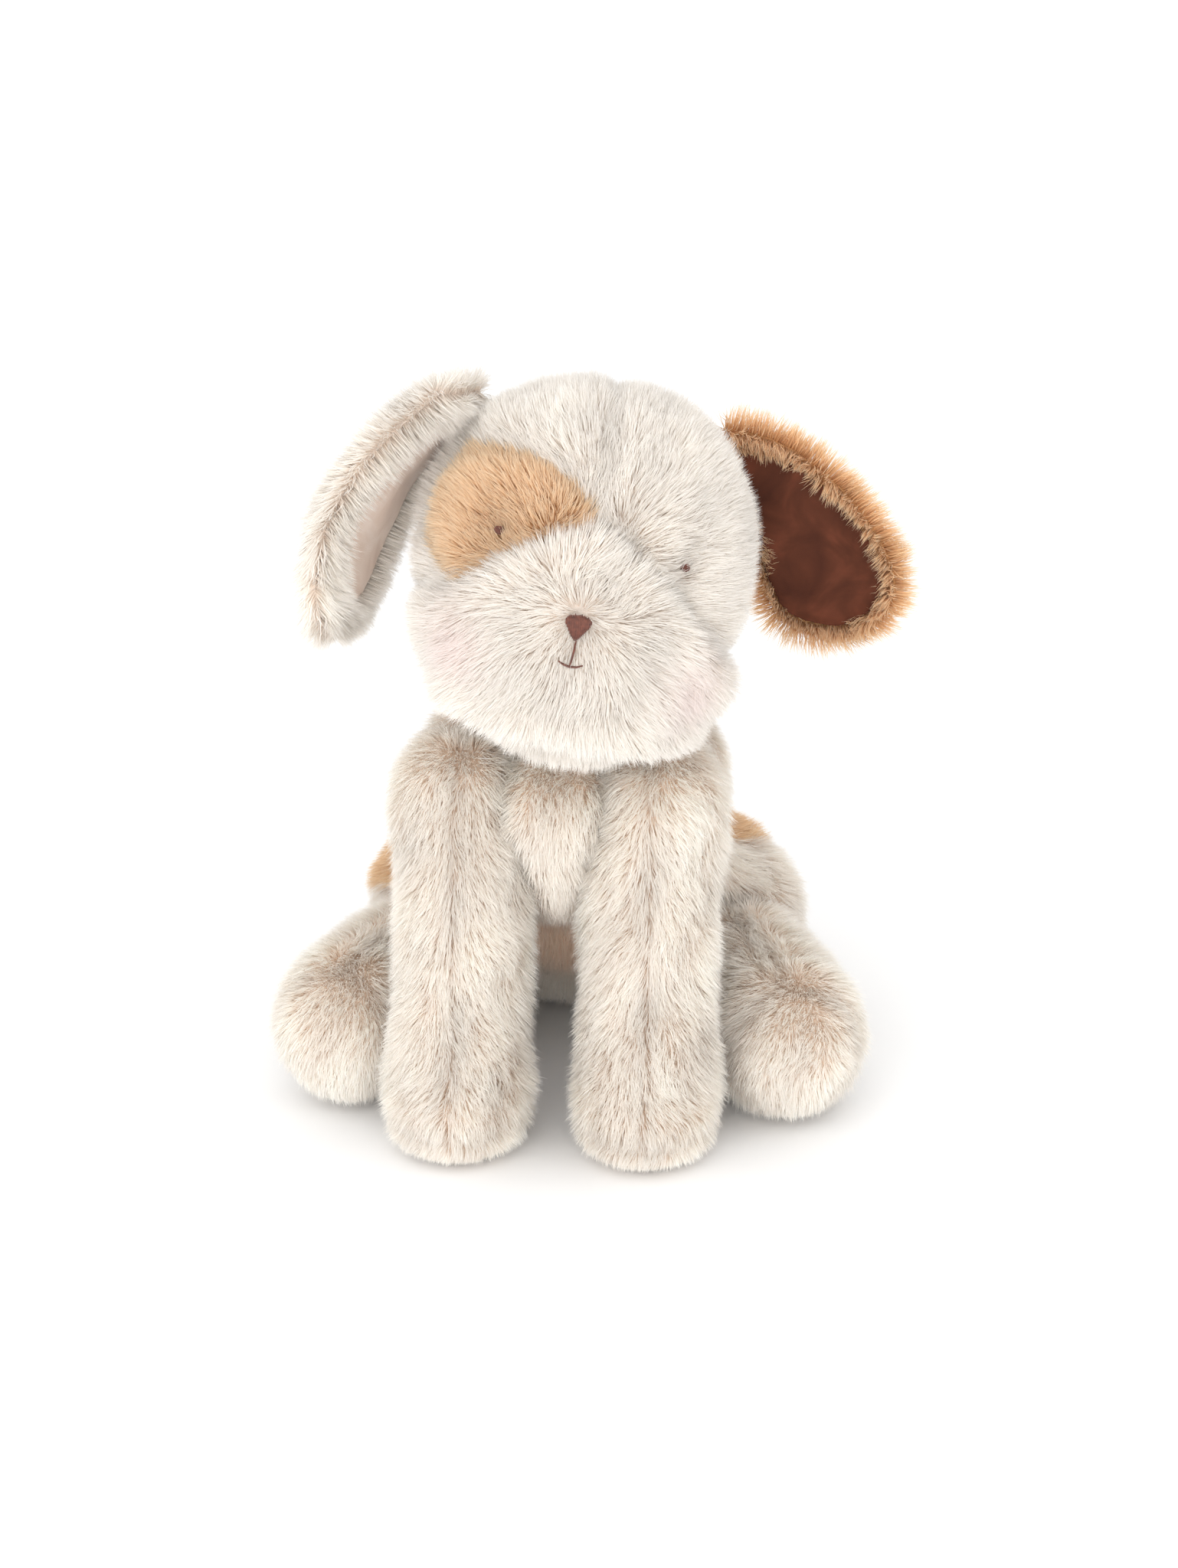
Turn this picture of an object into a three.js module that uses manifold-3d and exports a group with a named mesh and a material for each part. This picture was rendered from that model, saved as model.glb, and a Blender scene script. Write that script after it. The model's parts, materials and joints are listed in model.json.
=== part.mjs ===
// A seated plush dog, made as a sewn toy is made: furry panels stitched round stuffing, with a
// bag of pellets in the seat, two lined ears, and a head, legs and tail that bend at their seams.
// Millimetres, +Z up. The dog faces -Y, so its left side is at +X. The origin is the middle of
// the flat seat, on the surface that the dog sits on.

import * as THREE from 'three';
import { mergeVertices } from 'three/addons/utils/BufferGeometryUtils.js';
import Module from 'manifold-3d';

const wasm = await Module();
wasm.setup();

// ---------------------------------------------------------------- driving dimensions

const PANEL = 6;            // thickness of a furry panel: backing cloth and its pile
const THIN_PANEL = 4;       // the same on the tail
const GAP = 0.3;            // clear space between neighbouring pieces
const SOCKET_GAP = 2.6;     // clear space round a piece that turns
const SOFTNESS = 7;         // how widely two lobes of a soft shape run into each other
const FAR = 400;            // beyond the whole toy, for cutting blocks

const HEAD_CENTRE = [5, -105, 187];
const HEAD_PITCH = -6;      // degrees, the face lifted a little
const HEAD_ROLL = 12;       // the crown leans to the dog's left
const HEAD_YAW = 5;
const HEAD_LOBES = [
  { at: [-0.5, 3, 8], radii: [52, 49, 50.5] },    // cranium
  { at: [2.5, -22, -23], radii: [44.5, 33, 31] }, // muzzle and cheeks
];
const CHIN_SEAM = -44;      // height in the head where the chin panel starts
const EYE_AT = [29, 14];     // across and up, in the head
const EYE_RADII = [4, 2.2, 3.2];
const NOSE_AT = [-0.5, -7];
const NOSE_WIDTH = 9;
const MOUTH_DROP = 12;      // from the nose down to the smile
const THREAD_RADIUS = 0.8;

const HEAD_ROOM_AT = [5, -105, 190];
const HEAD_ROOM = [62, 64, 54];     // what the head sweeps over the shoulders

const NECK_AT = [4, -98, 143];
const NECK_RADIUS = 15;

const TORSO_CENTRE = [0, -30, 62];
const TORSO_LOBES = [
  { at: [0, 6, 37], radii: [50, 46, 44] },        // seat
  { at: [-48, -6, 35], radii: [31, 30, 33] },     // right haunch
  { at: [45, -7, 33], radii: [30, 30, 31] },      // left haunch
  { at: [0, -38, 68], radii: [46, 42, 40] },      // belly
  { at: [0, -86, 98], radii: [45, 38, 33] },      // chest
  { at: [-28, -86, 114], radii: [22, 24, 24] },   // right shoulder
  { at: [28, -86, 114], radii: [22, 24, 24] },    // left shoulder
];
const SPINE_FROM = [0, 14, 46];
const SPINE_TO = [0, -78, 106];
const SEAT_SEAM = 8;        // height of the seam round the seat base
const CHEST_HALF_WIDTH = 26;
const SADDLE_AT = [-26, 24, 75];
const SADDLE = [102, 66, 50];
const BAG_CENTRE = [0, 4, 21];
const BAG_RADII = [31, 27, 17];
const BAG_CLOTH = 1.2;
const BAG_MOUTH = 4;        // radius of the hole that the bag is filled through

const FRONT_LEG_SHIFT = -2; // both front legs stand a little to the dog's right
const SHOULDER_AT = [31, -107, 109];
const SHOULDER_RADIUS = 22.5;
const FRONT_LEG = [         // down the leg: place, half width, half depth
  { at: SHOULDER_AT, radii: [SHOULDER_RADIUS, SHOULDER_RADIUS] },
  { at: [29.5, -114, 78], radii: [20.5, 21] },
  { at: [30, -121, 52], radii: [20, 20] },
  { at: [30.5, -128, 28], radii: [22, 24] },
  { at: [30.5, -132, 14], radii: [24, 27.5] },
];
const TOE_SEAM_AT = [0, -157, 12];
const FRONT_SWINGS = [-3, 8, 20];   // it swings on to 36 degrees, clear of the chest
const HIP_AT = [54, -40, 26];
const HIP_RADIUS = 24;
const HIND_LEG = [
  { at: HIP_AT, radii: [HIP_RADIUS, HIP_RADIUS] },
  { at: [63, -66, 26], radii: [24.5, 25.5] },
  { at: [71, -98, 25.5], radii: [24, 27] },
];
const SOLE_BEYOND_ANKLE = 9;
const HIND_SWINGS = [0, 18, 35];

const TAIL_ROOT = [0, 49, 31];
const TAIL_RADIUS = 11;
const TAIL = [
  { at: TAIL_ROOT, radii: [TAIL_RADIUS, TAIL_RADIUS] },
  { at: [0, 61, 39], radii: [9.5, 9.5] },
  { at: [0, 67, 49], radii: [8, 8] },
];
const TAIL_ROOM = 4.5;      // clear space round its root, for wagging

const EAR_PILE = 6;         // outer, furry layer of an ear
const EAR_LINING = 2;       // short-pile lining
const LEFT_LINING = 0.8;    // the fur rolls over the lining's edge
const RIGHT_LINING = 0.7;
const EAR_ROOT_RADIUS = 7.4;
const LEFT_ROOT_LENGTH = 50;
const RIGHT_ROOT_HALF = 17;

// How finely each round shape is divided: around, and from pole to pole.
const HEAD_SKIN_GRID = [26, 18];
const TORSO_SKIN_GRID = [28, 20];
const INNER_GRID = [18, 13];
const LIMB_SIDES = 12;
const LIMB_CAP_RINGS = 3;
const TAIL_SIDES = 10;
const EAR_SIDES = 24;
const EAR_RINGS = 3;
const SWEEP_SIDES = 8;
const SWEEP_CAP_RINGS = 3;
const SWEEP_STATIONS = 3;   // the torso only meets the upper part of a limb

const CREAM = 0xe8ded2;
const CARAMEL = 0xdcb586;
const BROWN = 0x64372a;
const TAUPE = 0xc8af9f;
const THREAD_BROWN = 0x6e3c2c;
const FIBRE = 0xf2f0ea;
const PELLET = 0xdcdcd6;

// ---------------------------------------------------------------- small geometry helpers

const vec = ([x, y, z]) => new THREE.Vector3(x, y, z);
const onSide = (stations, side, shift = 0) => stations.map(({ at: [x, y, z], radii }) => (
  { at: [x * side + shift, y, z], radii }));
const turn = (degrees) => THREE.MathUtils.degToRad(degrees);

// A closed mesh as a solid that can be cut and joined.
function solid(geometry) {
  const bare = geometry.clone();
  bare.deleteAttribute('normal');
  bare.deleteAttribute('uv');
  const welded = mergeVertices(bare, 1e-4);
  const mesh = new wasm.Mesh({
    numProp: 3,
    vertProperties: Float32Array.from(welded.attributes.position.array),
    triVerts: Uint32Array.from(welded.index.array),
  });
  return new wasm.Manifold(mesh);
}

function geometryOf(manifold) {
  const mesh = manifold.getMesh();
  const geometry = new THREE.BufferGeometry();
  geometry.setAttribute('position', new THREE.BufferAttribute(mesh.vertProperties, 3));
  geometry.setIndex(new THREE.BufferAttribute(mesh.triVerts, 1));
  geometry.computeVertexNormals();
  return geometry;
}

// A block that fills the side of a plane that its normal points to.
function halfSpace(point, normal) {
  const block = new THREE.BoxGeometry(FAR, FAR, FAR).translate(0, 0, FAR / 2);
  const aim = new THREE.Quaternion().setFromUnitVectors(vec([0, 0, 1]), vec(normal).normalize());
  return solid(block.applyQuaternion(aim).translate(...point));
}

// The two sides of a plane, each kept clear of it by half a gap.
function split(whole, point, normal) {
  const unit = vec(normal).normalize();
  const shifted = (sign) => vec(point).addScaledVector(unit, sign * GAP / 2).toArray();
  const front = whole.intersect(halfSpace(shifted(1), unit.toArray()));
  const back = whole.intersect(halfSpace(shifted(-1), unit.clone().negate().toArray()));
  return [front, back];
}

const upFrom = (height) => halfSpace([0, 0, height], [0, 0, 1]);

function ball(centre, radius, around = 16) {
  return solid(new THREE.SphereGeometry(radius, around, around / 2 + 2).translate(...centre));
}

function ellipsoid(centre, radii, around = 14) {
  const sphere = new THREE.SphereGeometry(1, around, around / 2 + 2);
  return solid(sphere.scale(...radii).translate(...centre));
}

// Distance from a point to an ellipsoid, nearly: negative inside.
function lobeDistance(point, { at, radii }) {
  const offset = point.map((value, axis) => value - at[axis]);
  const near = Math.hypot(...offset.map((value, axis) => value / radii[axis]));
  const slope = Math.hypot(...offset.map((value, axis) => value / radii[axis] ** 2));
  return near * (near - 1) / Math.max(slope, 1e-6);
}

// Distance to several lobes that run softly into each other.
function skinDistance(point, lobes) {
  const total = lobes.reduce((sum, lobe) => sum + Math.exp(-lobeDistance(point, lobe) / SOFTNESS), 0);
  return -SOFTNESS * Math.log(total);
}

// How far the skin is from an inner point along a direction.
function reach(centre, direction, lobes, inset) {
  const at = (distance) => centre.map((value, axis) => value + direction[axis] * distance);
  let low = 0;
  let high = 0;
  while (skinDistance(at(high), lobes) < -inset) {
    low = high;
    high += 4;
  }
  for (let halving = 0; halving < 16; halving += 1) {
    const middle = (low + high) / 2;
    if (skinDistance(at(middle), lobes) < -inset) low = middle;
    else high = middle;
  }
  return (low + high) / 2;
}

// A stuffed shape: a sphere blown up until it meets the skin of its lobes.
function blob(centre, lobes, inset, [around, down]) {
  const geometry = new THREE.SphereGeometry(1, around, down);
  const places = geometry.attributes.position;
  for (let i = 0; i < places.count; i += 1) {
    const direction = new THREE.Vector3().fromBufferAttribute(places, i).normalize();
    const length = reach(centre, direction.toArray(), lobes, inset);
    places.setXYZ(i, ...vec(centre).addScaledVector(direction, length).toArray());
  }
  return solid(geometry);
}

// Rings of points, joined one to the next and closed at both ends by a point. Reversed turns
// the faces round, for rings that run the other way.
function ringsToGeometry(rings, firstPoint, lastPoint, reversed = false) {
  const sides = rings[0].length;
  const points = [...rings.flat(), firstPoint, lastPoint];
  const first = points.length - 2;
  const last = points.length - 1;
  const faces = [];
  for (let side = 0; side < sides; side += 1) {
    const next = (side + 1) % sides;
    faces.push(first, next, side);
    for (let ring = 0; ring + 1 < rings.length; ring += 1) {
      const here = ring * sides;
      const there = here + sides;
      faces.push(here + side, here + next, there + side);
      faces.push(here + next, there + next, there + side);
    }
    const end = (rings.length - 1) * sides;
    faces.push(last, end + side, end + next);
  }
  const geometry = new THREE.BufferGeometry();
  const values = points.flatMap((point) => point.toArray());
  geometry.setAttribute('position', new THREE.Float32BufferAttribute(values, 3));
  geometry.setIndex(reversed ? faces.reverse() : faces);
  return geometry;
}

// A stuffed limb: elliptical rings down a path, closed by a round cap at each end. The first
// cap is a hemisphere about the first place, so that the limb can turn there in its socket.
function limbGeometry(stations, inset = 0, sides = LIMB_SIDES, capRings = LIMB_CAP_RINGS) {
  const places = stations.map(({ at }) => vec(at));
  const frames = places.map((place, i) => {
    const before = places[Math.max(i - 1, 0)];
    const after = places[Math.min(i + 1, places.length - 1)];
    const forward = after.clone().sub(before).normalize();
    const across = new THREE.Vector3(1, 0, 0).addScaledVector(forward, -forward.x).normalize();
    return { place, forward, across, up: forward.clone().cross(across) };
  });
  const ring = ({ place, forward, across, up }, [wide, deep], shrink, shift) => {
    const points = [];
    for (let i = 0; i < sides; i += 1) {
      const angle = 2 * Math.PI * i / sides;
      points.push(place.clone()
        .addScaledVector(forward, shift)
        .addScaledVector(across, wide * shrink * Math.cos(angle))
        .addScaledVector(up, deep * shrink * Math.sin(angle)));
    }
    return points;
  };
  const radii = stations.map(({ radii: [wide, deep] }) => [wide - inset, deep - inset]);
  const last = stations.length - 1;
  const capHeight = (pair) => (pair[0] + pair[1]) / 2;
  const rings = [];
  for (let step = 1; step < capRings; step += 1) {
    const angle = Math.PI / 2 * step / capRings;
    rings.push(ring(frames[0], radii[0], Math.sin(angle), -capHeight(radii[0]) * Math.cos(angle)));
  }
  stations.forEach((station, i) => rings.push(ring(frames[i], radii[i], 1, 0)));
  for (let step = capRings - 1; step > 0; step -= 1) {
    const angle = Math.PI / 2 * step / capRings;
    rings.push(ring(frames[last], radii[last], Math.sin(angle), capHeight(radii[last]) * Math.cos(angle)));
  }
  const start = places[0].clone().addScaledVector(frames[0].forward, -capHeight(radii[0]));
  const end = places[last].clone().addScaledVector(frames[last].forward, capHeight(radii[last]));
  return ringsToGeometry(rings, start, end);
}

const limb = (stations, inset, sides) => solid(limbGeometry(stations, inset, sides));

// The space a limb passes through as it swings about the X axis of its root.
function limbSweep(stations, swings) {
  const pivot = vec(stations[0].at);
  const upper = stations.slice(0, SWEEP_STATIONS);
  return swings.map((degrees) => {
    const geometry = limbGeometry(upper, -SOCKET_GAP, SWEEP_SIDES, SWEEP_CAP_RINGS);
    geometry.translate(...pivot.clone().negate().toArray());
    geometry.rotateX(turn(-degrees));
    return solid(geometry.translate(...pivot.toArray()));
  }).reduce((whole, next) => whole.add(next));
}

// A flat outline in X and Z, pushed from one Y to another.
function prism(shape, fromY, toY) {
  const settings = { depth: toY - fromY, bevelEnabled: false, curveSegments: 10 };
  const geometry = new THREE.ExtrudeGeometry(shape, settings);
  return solid(geometry.rotateX(Math.PI / 2).translate(0, toY, 0));
}

function part(name, body, colour, roughness = 0.95) {
  const geometry = body instanceof THREE.BufferGeometry ? body : geometryOf(body);
  const material = new THREE.MeshStandardMaterial({ color: colour, roughness, metalness: 0 });
  const mesh = new THREE.Mesh(geometry, material);
  mesh.name = name;
  return mesh;
}

const group = new THREE.Group();

// ---------------------------------------------------------------- neck

group.add(part('neck_stuffing', ball(NECK_AT, NECK_RADIUS), FIBRE));

// ---------------------------------------------------------------- ears

// An ear is a leaf cut by a closed outline of (down the root, out from the root) places. Its
// layers are pushed along the normal, and bow(down, out) bends all of them alike.
function leafGeometry(frame, outline, heart, layer, scale) {
  const corners = [...outline, outline[0]].map(([down, out]) => new THREE.Vector2(down, out));
  const curve = new THREE.SplineCurve(corners);
  const edge = curve.getPoints(EAR_SIDES).slice(0, EAR_SIDES);
  const at = (flat, offset) => frame.origin.clone()
    .addScaledVector(frame.down, flat.x)
    .addScaledVector(frame.out, flat.y)
    .addScaledVector(frame.normal, offset + frame.bow(flat.x, flat.y));
  const centre = new THREE.Vector2(...heart);
  const ring = (fraction, offset) => edge.map((point) => (
    at(centre.clone().lerp(point, fraction * scale), offset)));
  const rings = [];
  for (let step = 1; step <= EAR_RINGS; step += 1) rings.push(ring(step / EAR_RINGS, layer[0]));
  for (let step = EAR_RINGS; step >= 1; step -= 1) rings.push(ring(step / EAR_RINGS, layer[1]));
  const reversed = frame.down.clone().cross(frame.out).dot(frame.normal) > 0;
  return ringsToGeometry(rings, at(centre, layer[0]), at(centre, layer[1]), reversed);
}

// The dog's left ear stands out from the side of the head and shows its lining to the front.
const LEFT_EAR = {
  origin: vec([44, -80, 230]),
  down: vec([0.25, 0, -0.968]),
  out: vec([0.968, 0, 0.25]),
  normal: vec([0, 1, 0]),
  bow: (down, out) => -0.0035 * (out - 10) ** 2 - 0.0012 * (down - 45) ** 2,
};
const LEFT_OUTLINE = [
  [1, 2], [4, 10], [12, 23], [30, 37], [48, 45], [62, 47], [73, 43],
  [80, 31], [80, 20], [74, 8], [62, 2], [40, 2], [20, 2],
];
const LEFT_HEART = [50, 23];

// The right ear hangs from the top of the head, its lining turned towards the head.
const rightOut = vec([-0.483, -0.051, -0.874]).normalize();
const backwards = vec([0.38, 0.92, 0]);
const rightDown = backwards.clone().addScaledVector(rightOut, -backwards.dot(rightOut)).normalize();
const RIGHT_EAR = {
  origin: vec([-28, -101, 244]),
  down: rightDown,
  out: rightOut,
  normal: rightDown.clone().cross(rightOut),
  bow: (down, out) => 9 * Math.sin(Math.PI * Math.min(out / 92, 1)) + 0.004 * down ** 2,
};
const RIGHT_OUTLINE = [
  [-17, 2], [-21, 16], [-25, 36], [-26, 58], [-21, 78], [-10, 91], [0, 94],
  [10, 91], [21, 78], [26, 58], [25, 36], [21, 16], [17, 2], [0, 2],
];
const RIGHT_HEART = [0, 46];

function ear(name, frame, outline, heart, liningSize, furColour, liningColour) {
  const outer = leafGeometry(frame, outline, heart, [GAP / 2, EAR_PILE], 1);
  const lining = leafGeometry(frame, outline, heart, [-EAR_LINING, -GAP / 2], liningSize);
  group.add(part(`${name}_outer`, solid(outer), furColour));
  group.add(part(`${name}_lining`, solid(lining), liningColour, 0.8));
}
ear('ear_left', LEFT_EAR, LEFT_OUTLINE, LEFT_HEART, LEFT_LINING, CARAMEL, BROWN);
ear('ear_right', RIGHT_EAR, RIGHT_OUTLINE, RIGHT_HEART, RIGHT_LINING, CREAM, TAUPE);

// The groove that an ear's root turns in, as a rod along the root.
function rootGroove(frame, from, to) {
  const rod = new THREE.CapsuleGeometry(EAR_ROOT_RADIUS, to - from, 3, 10);
  const aim = new THREE.Quaternion().setFromUnitVectors(vec([0, 1, 0]), frame.down);
  const middle = frame.origin.clone().addScaledVector(frame.down, (from + to) / 2);
  return rod.applyQuaternion(aim).translate(...middle.toArray());
}
const EAR_GROOVES = [
  rootGroove(LEFT_EAR, 0, LEFT_ROOT_LENGTH),
  rootGroove(RIGHT_EAR, -RIGHT_ROOT_HALF, RIGHT_ROOT_HALF),
];

// ---------------------------------------------------------------- head

const head = new THREE.Group();
head.position.set(...HEAD_CENTRE);
head.rotation.set(turn(HEAD_PITCH), turn(HEAD_ROLL), turn(HEAD_YAW), 'ZYX');
head.updateMatrixWorld();
group.add(head);

const HEAD_MIDDLE = [0, -8, -6];
const intoHead = head.matrixWorld.clone().invert();
const headCuts = [
  ball(head.worldToLocal(vec(NECK_AT)).toArray(), NECK_RADIUS + SOCKET_GAP),
  ...EAR_GROOVES.map((groove) => solid(groove.applyMatrix4(intoHead))),
].reduce((whole, next) => whole.add(next));

// Where the head's skin is, in front of a place across and up.
function faceDepth(across, up) {
  let depth = -90;
  while (skinDistance([across, depth, up], HEAD_LOBES) > 0) depth += 0.1;
  return depth;
}

// The muzzle panel, seen from the front: a peak between the eyes, falling to the cheeks.
function muzzleCutter(grow) {
  const seam = [[-64, -32], [-44, -13], [-28, 2], [-15, 12], [-7, 17.5], [0, 21.5]];
  const mirroredSeam = seam.slice(0, -1).reverse().map(([across, up]) => [-across, up]);
  const top = [...seam, ...mirroredSeam].map(([across, up]) => new THREE.Vector2(across, up + grow));
  const shape = new THREE.Shape();
  shape.moveTo(64, CHIN_SEAM - grow);
  shape.lineTo(-64, CHIN_SEAM - grow);
  shape.lineTo(top[0].x, top[0].y);
  top.slice(1).forEach((point) => shape.lineTo(point.x, point.y));
  return prism(shape, -90, -2 + grow);
}

// The caramel patch round the right eye.
function eyePatchCutter(grow) {
  const shape = new THREE.Shape();
  shape.absellipse(-24.5, 14, 26 + grow, 22 + grow, 0, 2 * Math.PI, false);
  return prism(shape, -90, grow);
}

function satinEye(side, grow) {
  const [across, up] = EYE_AT;
  const centre = [side * across, faceDepth(side * across, up) + 0.6, up];
  return ellipsoid(centre, EYE_RADII.map((radius) => radius + grow), 12);
}

// The nose is a cushion of satin stitch: a triangle with round corners and its point down.
function nose(grow) {
  const half = NOSE_WIDTH / 2;
  const shape = new THREE.Shape();
  shape.moveTo(-half + 1.6, 3.4);
  shape.quadraticCurveTo(0, 4.6, half - 1.6, 3.4);
  shape.quadraticCurveTo(half + 0.6, 1.8, half - 1.4, -0.8);
  shape.quadraticCurveTo(0.8, -4.6, 0, -4.6);
  shape.quadraticCurveTo(-0.8, -4.6, -half + 1.4, -0.8);
  shape.quadraticCurveTo(-half - 0.6, 1.8, -half + 1.6, 3.4);
  const settings = {
    depth: 1.6,
    bevelThickness: 1.2,
    bevelSize: 0.8,
    bevelOffset: grow - 0.8,
    bevelSegments: 2,
    curveSegments: 4,
  };
  const cushion = new THREE.ExtrudeGeometry(shape, settings).rotateX(Math.PI / 2);
  const depth = faceDepth(...NOSE_AT);
  return solid(cushion.translate(NOSE_AT[0], depth + 1.4, NOSE_AT[1]));
}

// A thread laid on the muzzle through places across and up.
function thread(places, radius) {
  const points = places.map(([across, up]) => vec([across, faceDepth(across, up) + 0.2, up]));
  const path = new THREE.CatmullRomCurve3(points);
  const section = new THREE.Shape().absarc(0, 0, radius, 0, 2 * Math.PI, false);
  return solid(new THREE.ExtrudeGeometry(section, { steps: 4, extrudePath: path, curveSegments: 3 }));
}

function mouth(grow) {
  const [across, up] = NOSE_AT;
  const smile = up - MOUTH_DROP;
  const fall = [[across, up - 5.4 + grow], [across, up - 9], [across, smile - 0.4]];
  const drop = thread(fall, THREAD_RADIUS + grow);
  const corner = 3.8 + grow;
  const bend = [[-corner, smile + 0.9], [-2, smile], [0, smile - 0.3], [2, smile], [corner, smile + 0.9]];
  return drop.add(thread(bend, THREAD_RADIUS + grow));
}

function buildHead() {
  const skin = blob(HEAD_MIDDLE, HEAD_LOBES, 0, HEAD_SKIN_GRID);
  const hollow = blob(HEAD_MIDDLE, HEAD_LOBES, PANEL, INNER_GRID);
  const trims = [satinEye(-1, GAP), satinEye(1, GAP), nose(GAP), mouth(GAP)];
  const cuts = trims.reduce((whole, next) => whole.add(next), headCuts);
  const shell = skin.subtract(hollow).subtract(cuts);

  const [upper, chin] = split(shell, [0, 0, CHIN_SEAM], [0, 0, 1]);
  const muzzle = upper.intersect(muzzleCutter(0));
  const besideMuzzle = upper.subtract(muzzleCutter(GAP));
  const [leftHalf, rightHalf] = split(besideMuzzle, [0, 0, 0], [1, 0, 0]);
  const eyePatch = rightHalf.intersect(eyePatchCutter(0));
  const rightCrown = rightHalf.subtract(eyePatchCutter(GAP));

  head.add(part('crown_left', leftHalf, CREAM));
  head.add(part('crown_right', rightCrown, CREAM));
  head.add(part('eye_patch', eyePatch, CARAMEL));
  head.add(part('muzzle_panel', muzzle, CREAM));
  head.add(part('chin_panel', chin, CREAM));
  const stuffing = blob(HEAD_MIDDLE, HEAD_LOBES, PANEL + GAP, INNER_GRID).subtract(cuts);
  head.add(part('head_stuffing', stuffing, FIBRE));
  head.add(part('eye_right', satinEye(-1, 0), THREAD_BROWN, 0.5));
  head.add(part('eye_left', satinEye(1, 0), THREAD_BROWN, 0.5));
  head.add(part('nose', nose(0), THREAD_BROWN, 0.5));
  head.add(part('mouth_stitch', mouth(0), THREAD_BROWN, 0.6));
}
buildHead();

// ---------------------------------------------------------------- limbs

const FRONT_LEFT = onSide(FRONT_LEG, 1, FRONT_LEG_SHIFT);
const FRONT_RIGHT = onSide(FRONT_LEG, -1, FRONT_LEG_SHIFT);
const HIND_LEFT = onSide(HIND_LEG, 1);
const HIND_RIGHT = onSide(HIND_LEG, -1);

// The furry skin of a leg, flat where it rests on the floor.
function limbShell(stations) {
  const hollow = limb(stations, PANEL).intersect(upFrom(PANEL));
  return limb(stations).intersect(upFrom(0)).subtract(hollow);
}

// Inner and outer panel, sole and stuffing of one front leg. The two panels meet in a seam down
// the middle of the leg's front and back, and the sole turns up over the toes.
function frontLeg(name, stations, side) {
  const [upper, sole] = split(limbShell(stations), TOE_SEAM_AT, [0, -0.16, 1]);
  const [outer, inner] = split(upper, stations[0].at, [side, 0, 0]);
  const stuffing = limb(stations, PANEL + GAP).intersect(upFrom(PANEL + GAP));
  group.add(part(`${name}_outer`, outer, CREAM));
  group.add(part(`${name}_inner`, inner, CREAM));
  group.add(part(`${name}_sole`, sole, CREAM));
  group.add(part(`${name}_stuffing`, stuffing, FIBRE));
}

// The same for a hind leg, which lies forward on the floor with its sole to the front.
function hindLeg(name, stations, side) {
  const hip = vec(stations[0].at);
  const foot = vec(stations[stations.length - 1].at);
  const forward = foot.clone().sub(hip).normalize();
  const soleStart = foot.clone().addScaledVector(forward, SOLE_BEYOND_ANKLE).toArray();
  const outwards = vec([0, 0, side]).cross(forward).normalize().toArray();
  const [sole, upper] = split(limbShell(stations), soleStart, forward.toArray());
  const [outer, inner] = split(upper, hip.toArray(), outwards);
  const stuffing = limb(stations, PANEL + GAP).intersect(upFrom(PANEL + GAP));
  group.add(part(`${name}_outer`, outer, CREAM));
  group.add(part(`${name}_inner`, inner, CREAM));
  group.add(part(`${name}_sole`, sole, CREAM));
  group.add(part(`${name}_stuffing`, stuffing, FIBRE));
}

function buildTail() {
  const shell = limb(TAIL, 0, TAIL_SIDES).subtract(limb(TAIL, THIN_PANEL, TAIL_SIDES));
  const [upper, lower] = split(shell, TAIL_ROOT, [0, -0.6, 0.8]);
  group.add(part('tail_upper', upper, CREAM));
  group.add(part('tail_lower', lower, CREAM));
  group.add(part('tail_stuffing', limb(TAIL, THIN_PANEL + GAP, TAIL_SIDES), FIBRE));
}

frontLeg('front_leg_left', FRONT_LEFT, 1);
frontLeg('front_leg_right', FRONT_RIGHT, -1);
hindLeg('hind_leg_left', HIND_LEFT, 1);
hindLeg('hind_leg_right', HIND_RIGHT, -1);
buildTail();

// ---------------------------------------------------------------- torso

// Everything that the torso leaves room for: the joints' sockets and the head above it.
function torsoCuts() {
  const headRoom = ellipsoid(HEAD_ROOM_AT, HEAD_ROOM, 18);
  return [
    ball(NECK_AT, NECK_RADIUS + SOCKET_GAP),
    limbSweep(FRONT_LEFT, FRONT_SWINGS),
    limbSweep(FRONT_RIGHT, FRONT_SWINGS),
    limbSweep(HIND_LEFT, HIND_SWINGS),
    limbSweep(HIND_RIGHT, HIND_SWINGS),
    ball(TAIL_ROOT, TAIL_RADIUS + TAIL_ROOM, 12),
    headRoom,
  ].reduce((whole, next) => whole.add(next));
}

// The caramel saddle lies on the back and reaches a little further forward on the right.
const saddleCutter = (grow) => ellipsoid(SADDLE_AT, SADDLE.map((radius) => radius + grow), 20);

// The pellet bag lies on the seat base; a short sleeve at its top is where it is filled.
function buildPelletBag() {
  const onSeat = upFrom(PANEL + GAP);
  const inBag = upFrom(PANEL + GAP + BAG_CLOTH);
  const shrunk = (inset) => BAG_RADII.map((radius) => radius - inset);
  const bag = ellipsoid(BAG_CENTRE, BAG_RADII).intersect(onSeat);
  const hollow = ellipsoid(BAG_CENTRE, shrunk(BAG_CLOTH)).intersect(inBag);
  const sleeve = new THREE.CylinderGeometry(BAG_MOUTH, BAG_MOUTH, 14, 12).rotateX(Math.PI / 2);
  const mouthHole = solid(sleeve.translate(0, BAG_CENTRE[1], BAG_CENTRE[2] + BAG_RADII[2]));
  const fillFloor = upFrom(PANEL + 2 * GAP + BAG_CLOTH);
  const fill = ellipsoid(BAG_CENTRE, shrunk(BAG_CLOTH + GAP)).intersect(fillFloor).subtract(mouthHole);
  group.add(part('pellet_bag', bag.subtract(hollow).subtract(mouthHole), FIBRE));
  group.add(part('pellet_fill', fill, PELLET, 0.6));
  return ellipsoid(BAG_CENTRE, shrunk(-GAP));
}

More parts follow.
